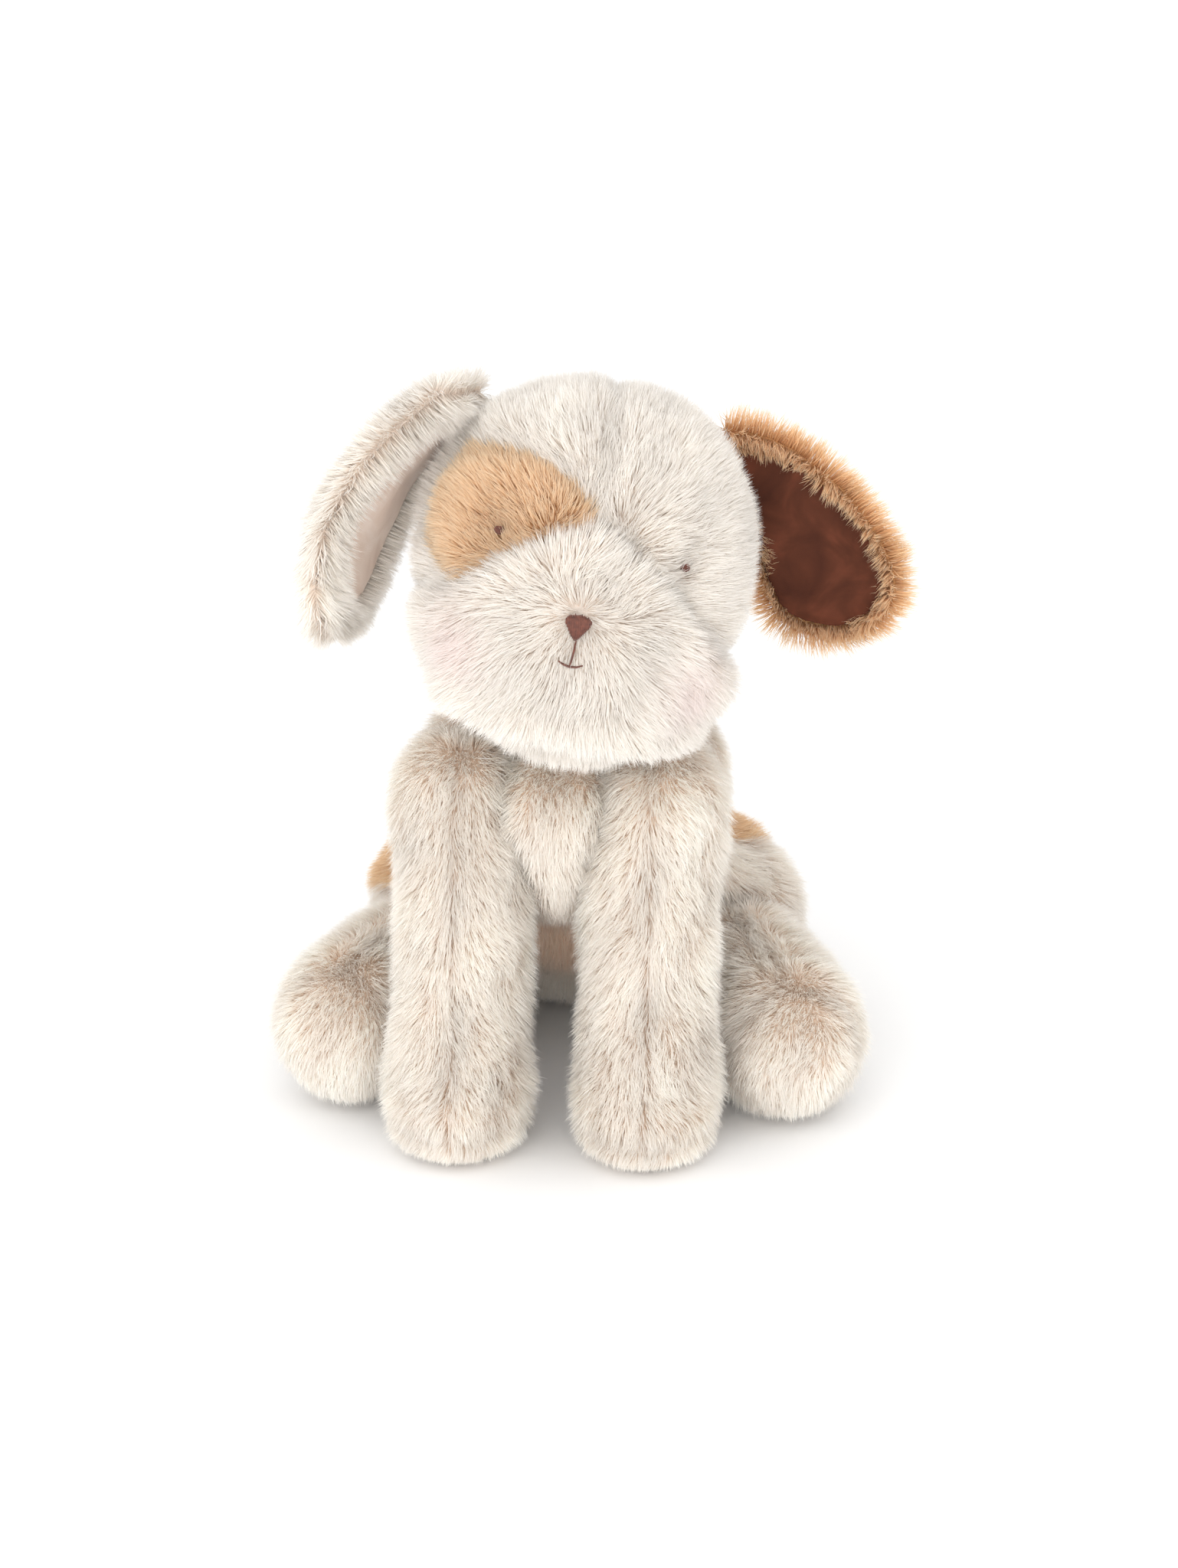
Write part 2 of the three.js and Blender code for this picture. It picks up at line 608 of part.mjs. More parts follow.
// The strip up the belly and chest that the chest panel fills.
function frontStrip(grow) {
  const strip = new THREE.BoxGeometry(2 * (CHEST_HALF_WIDTH + grow), FAR, FAR);
  return solid(strip.translate(0, -FAR / 2 + grow, 0));
}

function buildTorso() {
  const bagRoom = buildPelletBag();
  const cuts = torsoCuts();
  const skin = blob(TORSO_CENTRE, TORSO_LOBES, 0, TORSO_SKIN_GRID).intersect(upFrom(0)).subtract(cuts);
  const hollow = blob(TORSO_CENTRE, TORSO_LOBES, PANEL, INNER_GRID).intersect(upFrom(PANEL));
  const shell = skin.subtract(hollow);

  const spine = vec(SPINE_TO).sub(vec(SPINE_FROM)).normalize();
  const behind = vec([1, 0, 0]).cross(spine).negate();
  const [upper, seat] = split(shell, [0, 0, SEAT_SEAM], [0, 0, 1]);
  const chestCutter = (grow) => frontStrip(grow)
    .subtract(halfSpace(vec(SPINE_FROM).addScaledVector(behind, grow).toArray(), behind.toArray()));
  const chest = upper.intersect(chestCutter(0));
  const round = upper.subtract(chestCutter(GAP));
  const saddle = round.intersect(saddleCutter(0));
  const [left, right] = split(round.subtract(saddleCutter(GAP)), [0, 0, 0], [1, 0, 0]);

  group.add(part('seat_base', seat, CREAM));
  group.add(part('chest_panel', chest, CREAM));
  group.add(part('back_patch', saddle, CARAMEL));
  group.add(part('body_side_left', left, CREAM));
  group.add(part('body_side_right', right, CREAM));

  const fill = blob(TORSO_CENTRE, TORSO_LOBES, PANEL + GAP, INNER_GRID);
  const stuffing = fill.intersect(upFrom(PANEL + GAP)).subtract(cuts).subtract(bagRoom);
  group.add(part('torso_stuffing', stuffing, FIBRE));
}
buildTorso();

export default group;
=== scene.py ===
"""The looks of a sitting plush dog: sewn covers, combed faux fur, velour ear linings and stitched features.

Each CAD body gets a padded cover, sunk a little below the CAD surface, and each CAD fur panel gets
its own pile, strand by strand, rooted on that cover. The pile stands where the CAD panel is and
replaces it.
"""

import json
import math

import bpy
import numpy as np
from mathutils import Euler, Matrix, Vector, kdtree
from mathutils.bvhtree import BVHTree


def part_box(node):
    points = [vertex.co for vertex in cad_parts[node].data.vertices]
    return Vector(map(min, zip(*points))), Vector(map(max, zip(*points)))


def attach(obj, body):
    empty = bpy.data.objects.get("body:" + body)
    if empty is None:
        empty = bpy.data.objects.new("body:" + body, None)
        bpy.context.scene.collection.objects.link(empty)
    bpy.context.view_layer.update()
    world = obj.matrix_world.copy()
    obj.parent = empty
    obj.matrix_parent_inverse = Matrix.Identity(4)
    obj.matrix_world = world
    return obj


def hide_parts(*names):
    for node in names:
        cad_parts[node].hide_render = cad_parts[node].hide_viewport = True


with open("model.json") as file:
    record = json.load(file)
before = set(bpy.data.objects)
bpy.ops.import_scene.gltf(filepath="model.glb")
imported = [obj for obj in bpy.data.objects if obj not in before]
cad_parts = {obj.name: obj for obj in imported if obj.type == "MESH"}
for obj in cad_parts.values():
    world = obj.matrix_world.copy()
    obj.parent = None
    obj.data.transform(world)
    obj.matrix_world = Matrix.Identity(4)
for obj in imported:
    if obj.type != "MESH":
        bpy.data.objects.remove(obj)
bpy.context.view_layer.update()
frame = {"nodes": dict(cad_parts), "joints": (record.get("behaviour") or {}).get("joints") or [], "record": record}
NODES = frame["nodes"]
JOINTS = {joint["name"]: joint for joint in frame["joints"]}

MM = 0.001
HEAD_TILT = Euler([math.radians(angle) for angle in (-6, 12, 5)]).to_matrix()
ACROSS = np.array(HEAD_TILT.col[0])
UPWARD = np.array(HEAD_TILT.col[2])
DOWN = np.array((0.0, 0.0, -1.0))

PILE_INSET = 3.0 * MM
EAR_INSET = 1.8 * MM
FLOOR_CLEARANCE = 0.25 * MM
COVER_LIFT = 2.2 * MM
STRANDS_PER_MM2 = 4.0
STRAND_WIDTH = 0.30 * MM
CLUMP_SIZE = 2.2 * MM

EYE_REACH = 7.5 * MM
EYE_DIMPLE = 4.5 * MM
SEAM_GROOVE = 1.3 * MM
SEAM_WIDTH = 3.0 * MM
FACE_GROOVE = 3.6 * MM
MUZZLE_PUFF = 3.2 * MM
PANEL_LEAD = 4.0 * MM
CLOTH_FRAMES = 15
CLOTH_PRESSURE = 3.0
CLOTH_CAP = 1.6 * MM
BLUSH_REACH = 10 * MM
MOUTH_LIFT = 0.6 * MM
MOUTH_LINE = ((0.2, -4.0), (0.1, -7.0), (-0.1, -9.5), (-0.3, -12.0))
SMILE_LINE = ((-4.0, -10.9), (-2.4, -11.8), (-0.3, -12.2), (1.9, -11.9), (3.6, -11.0))


# ---------------------------------------------------------------- numbers and noise


def linear(code):
    """A colour written as sRGB hex, in linear light."""
    parts = [int(code[i : i + 2], 16) / 255 for i in (1, 3, 5)]
    return np.array([c / 12.92 if c <= 0.04045 else ((c + 0.055) / 1.055) ** 2.4 for c in parts])


def unit(vectors):
    return vectors / np.maximum(np.linalg.norm(vectors, axis=-1, keepdims=True), 1e-12)


def dot(a, b):
    return np.sum(a * b, axis=-1, keepdims=True)


def across_surface(vectors, normals):
    """The part of each vector that lies along the surface, at unit length."""
    return unit(vectors - dot(vectors, normals) * normals)


def ripple(points, size, seed, width=3):
    """A smooth random field of about -1 to 1, with features of the given size."""
    rng = np.random.default_rng(seed)
    waves = rng.normal(size=(14, 3)) / size
    phases = rng.uniform(0, 2 * np.pi, 14)
    swing = rng.normal(size=(14, width)) / math.sqrt(7)
    return np.sin(points @ waves.T + phases) @ swing


def fade(distance, reach):
    return np.exp(-((distance / reach) ** 2))


def centre_of(node):
    low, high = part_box(node)
    return np.array((low + high) / 2)


# ---------------------------------------------------------------- meshes


def arrays_of(mesh):
    """The points and triangles of a mesh as arrays."""
    points = np.empty(len(mesh.vertices) * 3)
    mesh.vertices.foreach_get("co", points)
    mesh.calc_loop_triangles()
    triangles = np.empty(len(mesh.loop_triangles) * 3, np.int32)
    mesh.loop_triangles.foreach_get("vertices", triangles)
    return points.reshape(-1, 3), triangles.reshape(-1, 3)


def joined(nodes):
    """The points and triangles of several CAD nodes, and the place in the list of each triangle's node."""
    points, triangles, owners, start = [], [], [], 0
    for place, node in enumerate(nodes):
        own_points, own_triangles = arrays_of(NODES[node].data)
        points.append(own_points)
        triangles.append(own_triangles + start)
        owners.append(np.full(len(own_triangles), place))
        start += len(own_points)
    return np.concatenate(points), np.concatenate(triangles), np.concatenate(owners)


def tree_of(points, triangles):
    return BVHTree.FromPolygons(points.tolist(), triangles.tolist())


def new_object(name, points, faces, material, smooth=True):
    mesh = bpy.data.meshes.new(name)
    mesh.from_pydata(np.asarray(points).tolist(), [], np.asarray(faces).tolist())
    if smooth:
        mesh.shade_smooth()
    mesh.materials.append(material)
    made = bpy.data.objects.new(name, mesh)
    bpy.context.scene.collection.objects.link(made)
    return made


def evaluated(made):
    """The object's mesh with its modifiers applied."""
    graph = bpy.context.evaluated_depsgraph_get()
    return bpy.data.meshes.new_from_object(made.evaluated_get(graph))


def remeshed(nodes, voxel):
    """One closed mesh round these CAD nodes, without the hollows inside."""
    points, triangles, _ = joined(nodes)
    rough = new_object("rough", points, triangles, None)
    modifier = rough.modifiers.new("voxels", "REMESH")
    modifier.mode = "VOXEL"
    modifier.voxel_size = voxel
    mesh = evaluated(rough)
    bpy.data.objects.remove(rough)
    return outer_island(mesh)


def outer_island(mesh):
    """The points and quads of the widest connected piece of a mesh."""
    points, _ = arrays_of(mesh)
    faces = np.array([tuple(face.vertices) for face in mesh.polygons])
    island = np.arange(len(points))
    while True:
        lowest = island[faces].min(axis=1)
        before = island.copy()
        for corner in range(4):
            np.minimum.at(island, faces[:, corner], lowest)
        island = island[island]
        if np.array_equal(before, island):
            break
    names = np.unique(island)
    widest = max(names, key=lambda name: np.ptp(points[island == name], axis=0).sum())
    kept = island == widest
    renumbered = np.cumsum(kept) - 1
    return points[kept], renumbered[faces[kept[faces[:, 0]]]]


def normals_of(points, faces):
    first, second = points[faces[:, 2]] - points[faces[:, 0]], points[faces[:, 3]] - points[faces[:, 1]]
    area = np.cross(first, second)
    normals = np.zeros_like(points)
    for corner in range(4):
        np.add.at(normals, faces[:, corner], area)
    return unit(normals)


def smoothed(values, faces, rounds, share=0.5):
    """Values at the points of a quad mesh, evened out with their neighbours."""
    neighbours = np.zeros(len(values))
    for corner in range(4):
        np.add.at(neighbours, faces[:, corner], 2)
    for _ in range(rounds):
        total = np.zeros_like(values)
        for corner in range(4):
            total_here = values[faces[:, corner - 1]] + values[faces[:, (corner + 1) % 4]]
            np.add.at(total, faces[:, corner], total_here)
        mean = total / (neighbours[:, None] if values.ndim > 1 else neighbours)
        values = values + share * (mean - values)
    return values


# ---------------------------------------------------------------- covers


def seam_field(points, panels):
    """For each point: how far the nearest seam between panels is, the way off it, and its own panel."""
    trees = [tree_of(*arrays_of(NODES[panel].data)) for panel in panels]
    nearest = np.array([[np.array(tree.find_nearest(p)[0]) for tree in trees] for p in points.tolist()])
    gaps = np.linalg.norm(nearest - points[:, None], axis=2)
    order = np.argsort(gaps, axis=1)
    rows = np.arange(len(points))
    if len(panels) == 1:
        return np.full(len(points), 1.0), np.zeros_like(points), order[:, 0]
    own, other = order[:, 0], order[:, 1]
    toward = nearest[rows, other] - points
    distance = np.sqrt(np.maximum(gaps[rows, other] ** 2 - gaps[rows, own] ** 2, 0))
    return distance, -unit(toward), own


class Cover:
    """The sewn cover of one body, sunk below the CAD surface by the depth of its pile."""

    def __init__(self, body, nodes, panels, voxel, inset):
        self.body = body
        self.panels = panels
        points, faces = remeshed(nodes, voxel)
        points = smoothed(points, faces, 4)
        normals = smoothed(normals_of(points, faces), faces, 3)
        points = smoothed(points - inset * unit(normals), faces, 3)
        self.points, self.faces = points, faces
        self.normals = normals_of(points, faces)
        self.seam, self.away, self.owner = seam_field(points, panels)

    def push(self, amount):
        """Moves each point along its normal."""
        self.points = self.points + amount[:, None] * self.normals
        self.normals = normals_of(self.points, self.faces)

    def swell(self, place, reach, amount):
        """Pushes the cover out, or in, round a place in millimetres."""
        distance = np.linalg.norm(self.points - MM * np.array(place), axis=1)
        self.push(amount * MM * fade(distance, reach * MM))

    def stuff(self, pressure, cap):
        """Swells the cover between its seams, as packed fibre does, with the cloth simulation."""
        swollen = new_object("swollen", self.points, self.faces, None)
        held = swollen.vertex_groups.new(name="seams")
        for index in np.flatnonzero(self.seam < SEAM_WIDTH / 2).tolist():
            held.add([index], 1.0, "REPLACE")
        cloth = swollen.modifiers.new("stuffing", "CLOTH")
        cloth.settings.vertex_group_mass = "seams"
        cloth.settings.use_pressure = True
        cloth.settings.uniform_pressure_force = pressure
        cloth.settings.effector_weights.gravity = 0
        cloth.settings.quality = 4
        scene = bpy.context.scene
        for number in range(1, CLOTH_FRAMES + 1):
            scene.frame_set(number)
        points, _ = arrays_of(evaluated(swollen))
        scene.frame_set(1)
        bpy.data.objects.remove(swollen)
        moved = points - self.points
        far = np.linalg.norm(moved, axis=1, keepdims=True)
        moved *= np.minimum(1, cap / np.maximum(far, 1e-9))
        self.points = smoothed(self.points + moved, self.faces, 1)
        self.normals = normals_of(self.points, self.faces)

    def rest_on_floor(self):
        self.points[:, 2] = np.maximum(self.points[:, 2], COVER_LIFT)

    def build(self, material, piles, fill):
        """The cover as a shown, padded piece, dyed like the roots of its pile."""
        made = new_object(self.body + "_cover", self.points, self.faces, material)
        points, triangles, owners = joined(self.panels)
        tree = tree_of(points, triangles)
        owner = owners[np.array([tree.find_nearest(point)[2] for point in self.points.tolist()])]
        roots = np.array([(*piles[panel].root, 1) for panel in self.panels])
        tone = made.data.attributes.new("tone", "FLOAT_COLOR", "POINT")
        tone.data.foreach_set("color", roots[owner].astype(np.float32).ravel())
        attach(made, self.body)
        return made


def room_round(cover, others):
    """How far a pile can grow from each point before it meets another body's cover; 0 is inside one."""
    room = np.full(len(cover.points), 1.0)
    for other in others:
        low = other.points.min(axis=0) - 12 * MM
        high = other.points.max(axis=0) + 12 * MM
        near = np.flatnonzero(np.all((cover.points > low) & (cover.points < high), axis=1))
        tree = tree_of(other.points, other.faces)
        for index in near.tolist():
            start, normal = Vector(cover.points[index]), Vector(cover.normals[index])
            _, facing, _, gap = tree.ray_cast(start, normal)
            if gap is None:
                continue
            buried = facing.dot(normal) > 0
            room[index] = 0 if buried else min(room[index], gap)
    return room


# ---------------------------------------------------------------- materials


def shader(name):
    """A new material, its nodes and its Principled shader."""
    material = bpy.data.materials.new(name)
    material.use_nodes = True
    return material, material.node_tree, material.node_tree.nodes["Principled BSDF"]


def colours_between(tree, factor, stops):
    ramp = tree.nodes.new("ShaderNodeValToRGB")
    elements = ramp.color_ramp.elements
    while len(elements) < len(stops):
        elements.new(0.5)
    for element, (place, colour) in zip(elements, stops):
        element.position = place
        element.color = (*linear(colour), 1)
    tree.links.new(factor, ramp.inputs["Fac"])
    return ramp.outputs["Color"]


def noise(tree, scale, detail=3.0, distortion=0.0):
    coordinates = tree.nodes.new("ShaderNodeTexCoord")
    made = tree.nodes.new("ShaderNodeTexNoise")
    made.inputs["Scale"].default_value = scale
    made.inputs["Detail"].default_value = detail
    made.inputs["Distortion"].default_value = distortion
    tree.links.new(coordinates.outputs["Object"], made.inputs["Vector"])
    return made.outputs["Fac"]


def bump(tree, bsdf, height, strength, distance):
    made = tree.nodes.new("ShaderNodeBump")
    made.inputs["Strength"].default_value = strength
    made.inputs["Distance"].default_value = distance
    tree.links.new(height, made.inputs["Height"])
    tree.links.new(made.outputs["Normal"], bsdf.inputs["Normal"])


def fur_material(name):
    """Strands carry their own colours from root to tip; the shader adds the soft gloss of fibre."""
    material, tree, bsdf = shader(name)
    tone = tree.nodes.new("ShaderNodeAttribute")
    tone.attribute_name = "tone"
    tree.links.new(tone.outputs["Color"], bsdf.inputs["Base Color"])
    bsdf.inputs["Roughness"].default_value = 0.62
    bsdf.inputs["Specular IOR Level"].default_value = 0.25
    bsdf.inputs["Sheen Weight"].default_value = 0.2
    bsdf.inputs["Sheen Roughness"].default_value = 0.5
    through = tree.nodes.new("ShaderNodeBsdfTranslucent")
    tree.links.new(tone.outputs["Color"], through.inputs["Color"])
    both = tree.nodes.new("ShaderNodeMixShader")
    both.inputs["Fac"].default_value = 0.4
    tree.links.new(bsdf.outputs["BSDF"], both.inputs[1])
    tree.links.new(through.outputs["BSDF"], both.inputs[2])
    tree.links.new(both.outputs["Shader"], tree.nodes["Material Output"].inputs["Surface"])
    return material


def backing_material():
    """The knitted ground of the fur cloth, dyed to match the roots of its pile."""
    material, tree, bsdf = shader("backing_knit")
    tone = tree.nodes.new("ShaderNodeAttribute")
    tone.attribute_name = "tone"
    worn = tree.nodes.new("ShaderNodeMixRGB")
    worn.blend_type = "MULTIPLY"
    worn.inputs["Fac"].default_value = 0.5
    tree.links.new(tone.outputs["Color"], worn.inputs["Color1"])
    tree.links.new(noise(tree, 400, 2), worn.inputs["Color2"])
    tree.links.new(worn.outputs["Color"], bsdf.inputs["Base Color"])
    bsdf.inputs["Roughness"].default_value = 0.9
    bump(tree, bsdf, noise(tree, 1800, 2), 0.5, 0.3 * MM)
    return material


def velour_material(name, stops, sheen):
    """Short-pile velour: brushed patches lie lighter or darker, with a fine nap."""
    material, tree, bsdf = shader(name)
    colour = colours_between(tree, noise(tree, 70, 3, 0.6), stops)
    tree.links.new(colour, bsdf.inputs["Base Color"])
    bsdf.inputs["Roughness"].default_value = 0.85
    bsdf.inputs["Specular IOR Level"].default_value = 0.2
    bsdf.inputs["Sheen Weight"].default_value = sheen
    bsdf.inputs["Sheen Roughness"].default_value = 0.35
    bump(tree, bsdf, noise(tree, 2600, 2), 0.6, 0.25 * MM)
    return material


def thread_material():
    """Lustrous embroidery thread, lighter and darker in small random patches."""
    material, tree, bsdf = shader("embroidery_thread")
    colour = colours_between(tree, noise(tree, 900, 3), [(0.3, "#4A2114"), (0.7, "#703A27")])
    tree.links.new(colour, bsdf.inputs["Base Color"])
    bsdf.inputs["Roughness"].default_value = 0.45
    bsdf.inputs["Sheen Weight"].default_value = 0.2
    bump(tree, bsdf, noise(tree, 5000, 2), 0.4, 0.05 * MM)
    return material


def loose_material(name, stops, scale, roughness, depth):
    """Fibre, plain cloth or pellets inside the toy."""
    material, tree, bsdf = shader(name)
    pattern = noise(tree, scale, 6, 0.8)
    tree.links.new(colours_between(tree, pattern, stops), bsdf.inputs["Base Color"])
    bsdf.inputs["Roughness"].default_value = roughness
    bump(tree, bsdf, pattern, 0.8, depth)
    return material


# ---------------------------------------------------------------- pile


class Pile:
    """How the fur of one panel grows."""

    def __init__(self, length, colours, lean=(30, 56), thick=1.0, clump=0.45):
        self.length = length * MM
        self.root, self.middle, self.tip = (linear(colour) for colour in colours)
        self.lean = np.radians(lean)
        self.thick = thick
        self.clump = clump


# Painted shade: this white is dyed duller than the body's cream, to hold down the stronger light on the head.
def white_painted_dimmer(length, **changes):
    return Pile(length, ("#EBDDD0", "#F5F0E9", "#F9F6F2"), **changes)


# Painted light: this cream is dyed brighter than the head's white, to lift the shade on the body under the head;
# its warmer hue is the fur's own.
def cream_painted_brighter(length, **changes):
    return Pile(length, ("#F2DCC8", "#FCF6EE", "#FEFBF6"), **changes)


def caramel(length, **changes):
    return Pile(length, ("#CC9661", "#EBC89D", "#F6E2C4"), **changes)


def spread_roots(cover, weight, rng):
    """Random places on the cover, each as a quad's triangle and the shares of its corners."""
    quads = cover.faces
    triangles = np.concatenate((quads[:, [0, 1, 2]], quads[:, [0, 2, 3]]))
    corners = cover.points[triangles]
    area = np.linalg.norm(np.cross(corners[:, 1] - corners[:, 0], corners[:, 2] - corners[:, 0]), axis=1) / 2
    wanted = area * weight[triangles].mean(axis=1) * STRANDS_PER_MM2 / MM**2
    total = np.cumsum(wanted)
    count = int(total[-1])
    places = (np.arange(count) + rng.uniform(size=count)) * total[-1] / count
    chosen = triangles[np.minimum(np.searchsorted(total, places), len(total) - 1)]
    first, second = rng.uniform(size=(2, count))
    folded = first + second > 1
    first, second = np.where(folded, 1 - first, first), np.where(folded, 1 - second, second)
    return chosen, np.stack((1 - first - second, first, second), axis=1)


def at_roots(values, chosen, shares):
    picked = values[chosen]
    return np.einsum("ij,ij...->i...", shares, picked)


def nearest_index(points, guides):
    tree = kdtree.KDTree(len(guides))
    for index, guide in enumerate(guides.tolist()):
        tree.insert(guide, index)
    tree.balance()
    return np.array([tree.find(point)[1] for point in points.tolist()])


def grow(cover, piles, flow, length_share, tint, keep, seed):
    """Grows the pile of every panel of a cover.

    flow is the combing direction at each point of the cover; where it is shorter than 1 the pile
    stands up more. tint is the colour laid over the panel's own: a pink blush on the cheeks, and painted shade
    round the eyes and under the chest.
    """
    rng = np.random.default_rng(seed)
    fields = np.column_stack((cover.points, cover.normals, flow, length_share, cover.seam, tint))
    chosen, shares = spread_roots(cover, keep, rng)
    fields = at_roots(fields, chosen, shares)
    points, triangles, owners = joined(cover.panels)
    tree = tree_of(points, triangles)
    seen = fields[:, :3] + PANEL_LEAD * unit(fields[:, 6:9])
    owner = owners[np.array([tree.find_nearest(place)[2] for place in seen.tolist()])]
    for place, panel in enumerate(cover.panels):
        mine = fields[owner == place]
        if len(mine):
            build_pile(panel, cover.body, piles[panel], mine, rng)


def build_pile(panel, body, pile, fields, rng):
    """One panel's fur: every strand is a tapering ribbon of two spans, bent over along the flow."""
    root, normal, flow = fields[:, :3], unit(fields[:, 3:6]), fields[:, 6:9]
    length_share, seam, tint = fields[:, 9:10], fields[:, 10:11], fields[:, 11:14]
    count = len(root)
    combed = np.minimum(1, np.linalg.norm(flow, axis=1, keepdims=True))
    flow = unit(flow + 0.20 * ripple(root, 3 * MM, 11) + 0.14 * ripple(root, 9 * MM, 12))
    flow = across_surface(flow + 0.26 * rng.normal(size=(count, 3)), normal)

    length = pile.length * length_share * rng.uniform(0.80, 1.12, (count, 1))
    settle = 0.08 * ripple(root, 5 * MM, 13, 1) + 0.13 * rng.normal(size=(count, 1))
    low, high = pile.lean[0] * combed + settle, pile.lean[1] * combed + 1.3 * settle
    pressed = np.clip(1 - length_share, 0, 1) * 0.5
    low, high = low + pressed, np.minimum(high + pressed, 1.5)
    rise = np.cos(low) * normal + np.sin(low) * flow
    bend = np.cos(high) * normal + np.sin(high) * flow
    start = root - 0.4 * MM * normal
    middle = start + 0.45 * length * rise
    tip = middle + 0.55 * length * bend

    spacing = CLUMP_SIZE / MM
    guides = rng.permutation(count)[: max(1, int(count / (STRANDS_PER_MM2 * spacing**2 * 0.8)))]
    guide = guides[nearest_index(root, root[guides])]
    drawn = pile.clump * rng.uniform(0.4, 1.2, (count, 1))
    middle = middle + 0.30 * drawn * (middle[guide] - middle)
    tip = tip + 0.80 * drawn * (tip[guide] - tip)

    side = unit(np.cross(bend, normal) + 0.35 * rng.normal(size=(count, 3)))
    half = 0.5 * STRAND_WIDTH * pile.thick * rng.uniform(0.75, 1.25, (count, 1))
    strands = np.stack((start - half * side, start + half * side, middle - 0.85 * half * side,
                        middle + 0.85 * half * side, tip), axis=1)
    strands[:, :, 2] = np.maximum(strands[:, :, 2], FLOOR_CLEARANCE)

    light = 1 + 0.045 * rng.normal(size=(count, 1)) + 0.03 * ripple(root, 9 * MM, 14, 1)
    # Painted shade: strands near a seam are darkened, as in the shadow of the seam's groove.
    light = light * (1 - 0.06 * fade(seam, 2.5 * MM))
    tones = [colour * light * tint**share
             for colour, share in ((pile.root, 1.0), (pile.middle, 1.0), (pile.tip, 0.8))]
    tones = np.clip(np.stack((tones[0], tones[0], tones[1], tones[1], tones[2]), axis=1), 0, 1)
    made = ribbons(panel + "_fur", strands, tones)
    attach(made, body)
    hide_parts(panel)
    return made


def ribbons(name, strands, tones):
    """A mesh of flat tapering strands of five points, each with its own cell of the texture map."""
    count = len(strands)
    mesh = bpy.data.meshes.new(name)
    mesh.vertices.add(count * 5)
    mesh.vertices.foreach_set("co", strands.astype(np.float32).ravel())
    corners = np.array((0, 1, 3, 2, 2, 3, 4))
    loops = (np.arange(count)[:, None] * 5 + corners).ravel()
    mesh.loops.add(len(loops))
    mesh.loops.foreach_set("vertex_index", loops.astype(np.int32))
    mesh.polygons.add(count * 2)
    starts = (np.arange(count)[:, None] * 7 + np.array((0, 4))).ravel()
    mesh.polygons.foreach_set("loop_start", starts.astype(np.int32))
    mesh.polygons.foreach_set("loop_total", np.tile((4, 3), count).astype(np.int32))
    mesh.update(calc_edges=True)
    mesh.shade_smooth()
    tone = mesh.attributes.new("tone", "FLOAT_COLOR", "POINT")
    rgba = np.concatenate((tones.reshape(-1, 3), np.ones((count * 5, 1))), axis=1)
    tone.data.foreach_set("color", rgba.astype(np.float32).ravel())
    columns = math.ceil(math.sqrt(count))
    cell = np.stack((np.arange(count) % columns, np.arange(count) // columns), axis=1)[:, None]
    inside = np.array((
        (0.2, 0.1), (0.8, 0.1), (0.75, 0.5), (0.25, 0.5),
        (0.25, 0.5), (0.75, 0.5), (0.5, 0.9),
    ))
    places = mesh.uv_layers.new(name="OFBake")
    places.uv.foreach_set("vector", ((cell + inside) / columns).astype(np.float32).ravel())
    mesh.materials.append(FUR)
    made = bpy.data.objects.new(name, mesh)
    bpy.context.scene.collection.objects.link(made)
    return made


# ---------------------------------------------------------------- stitched features


def stitch(node, name, along, facing, thickness, pitch, slant, size=1.0, sink=0.0):
    """Satin stitch over a CAD feature: threads side by side, each laid over the feature's own surface."""
    points, triangles = arrays_of(NODES[node].data)
    tree = tree_of(points, triangles)
    middle = points.mean(axis=0)
    run = unit(along - dot(along, facing) * facing)
    side = np.cross(facing, run)
    run = unit(run + slant * side)
    side = np.cross(facing, run)
    reach = np.abs((points - middle) @ side).max()
    span = np.abs((points - middle) @ run).max()
    paths = []
    for offset in np.arange(-reach + 0.4 * pitch / size, reach, pitch / size):
        path = []
        for step in np.linspace(-span, span, 33):
            start = middle + offset * side + step * run + 20 * MM * facing
            hit = tree.ray_cast(Vector(start), Vector(-facing), 24 * MM)[0]
            if hit is not None:
                path.append(middle + size * (np.array(hit) - middle) - sink * facing)
        if len(path) > 3:
            paths.append(smooth_path(np.array(path), 9))
    return build_threads(name, paths, thickness, facing)


def smooth_path(path, count):
    """The path again with evenly spaced points."""
    run = np.concatenate(([0], np.cumsum(np.linalg.norm(np.diff(path, axis=0), axis=1))))
    places = np.linspace(0, run[-1], count)
    return np.column_stack([np.interp(places, run, path[:, axis]) for axis in range(3)])


def build_threads(name, paths, thickness, facing):
    """Round threads along paths, as one mesh with closed ends."""
    sides = 8
    points, faces = [], []
    for path in paths:
        along = unit(np.gradient(path, axis=0))
        side = unit(np.cross(along, facing))
        up = np.cross(side, along)
        taper = np.sin(np.linspace(0.22, np.pi - 0.22, len(path))) ** 0.35
        start = len(points)
        for at in range(len(path)):
            for corner in range(sides):
                angle = 2 * math.pi * corner / sides
                out = math.cos(angle) * side[at] + math.sin(angle) * up[at]
                points.append(path[at] + thickness / 2 * taper[at] * out)
        for at in range(len(path) - 1):
            for corner in range(sides):
                here, after = start + at * sides, start + (at + 1) * sides
                turn = (corner + 1) % sides
                faces.append((here + corner, here + turn, after + turn, after + corner))
        faces.append(tuple(range(start + sides - 1, start - 1, -1)))
        faces.append(tuple(range(start + (len(path) - 1) * sides, start + len(path) * sides)))
    mesh = bpy.data.meshes.new(name)
    mesh.from_pydata([tuple(p) for p in points], [], faces)
    mesh.shade_smooth()
    mesh.materials.append(THREAD)
    made = bpy.data.objects.new(name, mesh)
    bpy.context.scene.collection.objects.link(made)
    return made


def finish_feature(made, node):
    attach(made, "head")
    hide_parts(node)


# ---------------------------------------------------------------- the toy

SLOTS = {part["node"]: part["material_slot"] for part in frame["record"]["subparts"]}
FUR = fur_material("faux_fur")
BACKING = backing_material()
THREAD = thread_material()

